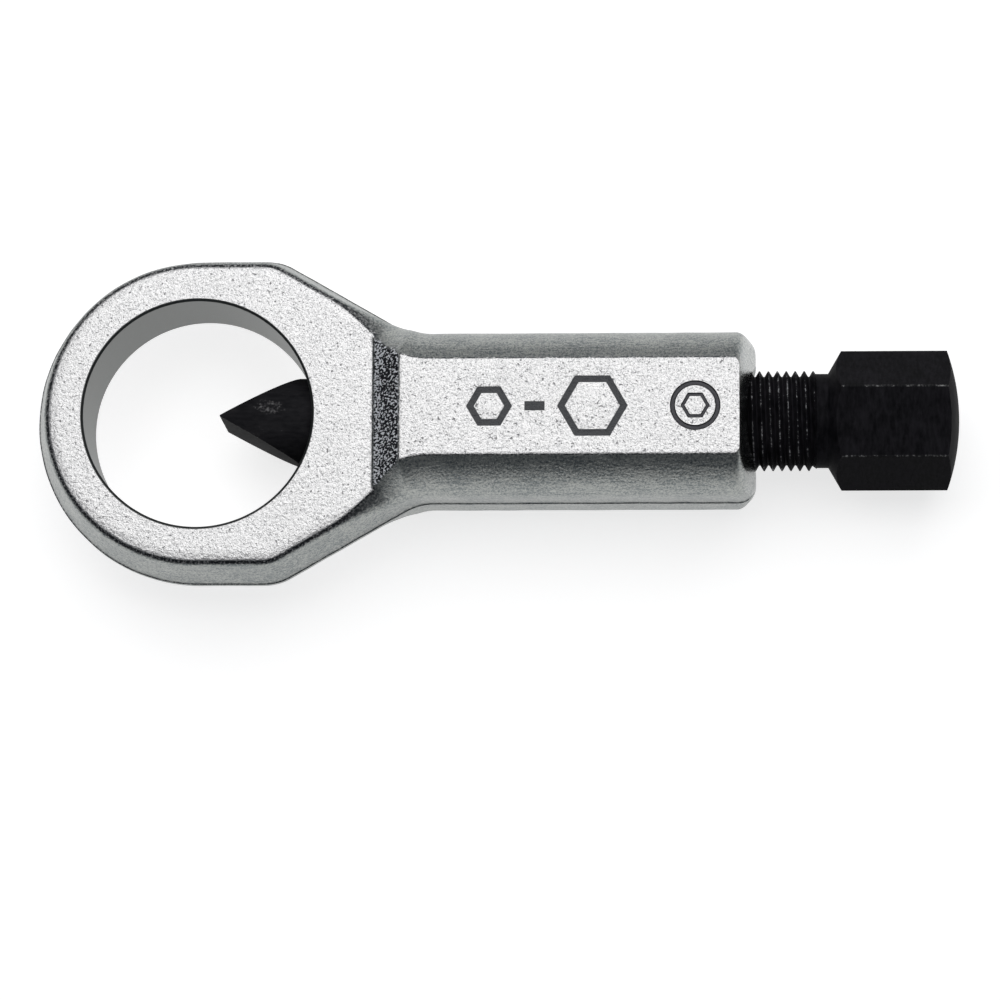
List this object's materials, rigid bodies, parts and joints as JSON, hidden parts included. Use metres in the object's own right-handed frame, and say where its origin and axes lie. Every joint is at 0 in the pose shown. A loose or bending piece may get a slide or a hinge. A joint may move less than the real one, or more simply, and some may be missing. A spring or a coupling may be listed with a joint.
{
  "type": "nut splitter",
  "caption": "Hand nut splitter: a forged ring body with a barrel handle, a round cutting chisel sliding across the ring, and a hexagon-headed pressure screw that drives it.",
  "frame": {"origin": "centre of the bounding box in plan, on the plane of the handle's back flat", "axes": "+X along the screw from the ring to the hexagon head, +Z out of the front face, +Y to the side"},
  "size_m": [0.1292, 0.0462, 0.025],
  "materials": {
    "plated_forging": "drop-forged steel, blasted and plated a bright satin silver",
    "blackened_chisel": "hardened tool steel, blackened",
    "blackened_screw": "heat-treated steel, blackened and oiled",
    "bearing_steel": "polished bearing steel",
    "spring_steel": "oiled spring steel"
  },
  "bodies": {
    "frame": {"body": "plated_forging", "guide_pin": "spring_steel"},
    "cutter": {"chisel": "blackened_chisel", "thrust_ball": "bearing_steel", "retaining_ring": "spring_steel"},
    "screw": {"spindle": "blackened_screw"}
  },
  "joints": [
    {"name": "chisel_feed", "type": "slide", "parent": "frame", "child": "cutter", "axis": [-1, 0, 0], "range_m": [-0.0135, 0.0095]},
    {"name": "spindle_turn", "type": "hinge", "parent": "cutter", "child": "screw", "pos_m": [0.03, 0, 0.0125], "axis": [-1, 0, 0], "range_deg": [-3889, 2737]}
  ],
  "couplings": [
    {"joint": "spindle_turn", "follows": "chisel_feed", "rad_per_m": 5026.5}
  ]
}
